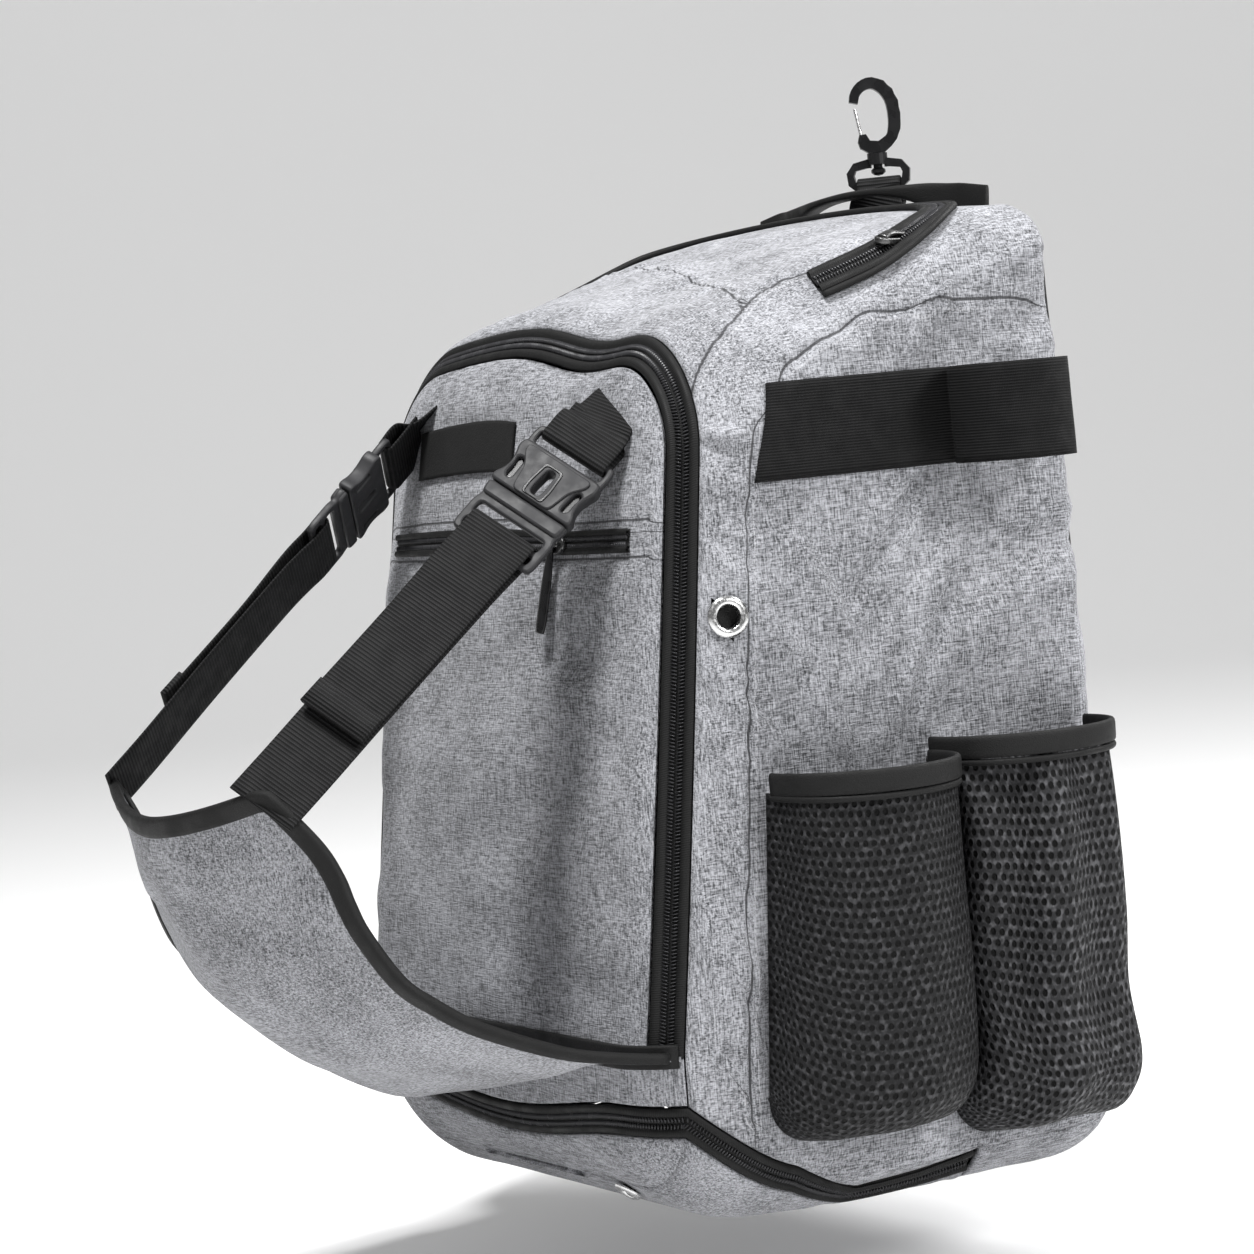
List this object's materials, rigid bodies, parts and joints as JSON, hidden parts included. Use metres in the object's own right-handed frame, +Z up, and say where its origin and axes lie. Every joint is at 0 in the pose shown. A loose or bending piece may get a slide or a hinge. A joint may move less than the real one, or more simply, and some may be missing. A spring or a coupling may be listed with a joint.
{
  "type": "bat backpack",
  "caption": "Tall soft sports backpack hanging from a swivel snap hook, with a slung helmet flap on buckled straps, net side pockets and elastic bat bands.",
  "frame": {"origin": "where the bag hangs: the inner top of the snap hook's bow, on the hook's turning axis", "axes": "+Z up, -Y towards the front with the flap, +Y towards the wearer's back, +X to the right of someone who faces the front"},
  "size_m": [0.4518, 0.4977, 0.5602],
  "materials": {
    "heather_cloth": "matte heathered weave",
    "zipper_tape": "coated tape with a fine coil",
    "padded_net": "open spacer net",
    "metal": "bright",
    "black_cloth": "matte",
    "webbing": "ribbed",
    "net": "open net",
    "elastic": "fine ribbed",
    "plastic": "satin"
  },
  "bodies": {
    "bag": {"body_shell": "heather_cloth", "front_panel": "heather_cloth", "lower_front_panel": "heather_cloth", "shoe_panel": "heather_cloth", "helmet_flap": "heather_cloth", "front_zipper": "zipper_tape", "shoe_zipper": "zipper_tape", "slit_zipper": "zipper_tape", "top_zipper": "zipper_tape", "back_pad": "padded_net", "shoulder_strap_right": "padded_net", "shoulder_strap_left": "padded_net", "vent_grommet_right": "metal", "vent_grommet_left": "metal", "shoe_grommet": "metal", "slit_slider": "metal", "top_slider": "metal", "hook_patch": "black_cloth", "flap_binding": "black_cloth", "bottle_rim_right": "black_cloth", "bottle_rim_left": "black_cloth", "bat_rim_right": "black_cloth", "bat_rim_left": "black_cloth", "haul_handle": "black_cloth", "flap_strap_right": "webbing", "flap_strap_left": "webbing", "strap_anchor_right": "webbing", "strap_anchor_left": "webbing", "hook_webbing": "webbing", "strap_webbing_right": "webbing", "strap_webbing_left": "webbing", "bottle_pocket_right": "net", "bottle_pocket_left": "net", "bat_pocket_right": "net", "bat_pocket_left": "net", "elastic_band_right": "elastic", "elastic_band_left": "elastic", "buckle_female_right": "plastic", "buckle_female_left": "plastic", "buckle_male_right": "plastic", "buckle_male_left": "plastic", "swivel_base": "plastic", "ladder_lock_right": "plastic", "ladder_lock_left": "plastic"},
    "hook": {"snap_hook": "plastic"},
    "gate": {"hook_gate": "metal"}
  },
  "joints": [
    {"name": "hook_swivel", "type": "hinge", "parent": "bag", "child": "hook", "pos_m": [0, 0, -0.0342], "axis": [0, 0, 1], "continuous": true},
    {"name": "gate_hinge", "type": "hinge", "parent": "hook", "child": "gate", "pos_m": [-0.0036, -0.00577, -0.0296], "axis": [-0.848, 0.5299, 0], "range_deg": [0, 25], "stiffness_Nm_per_rad": 0.002, "springref_deg": -17.19}
  ]
}
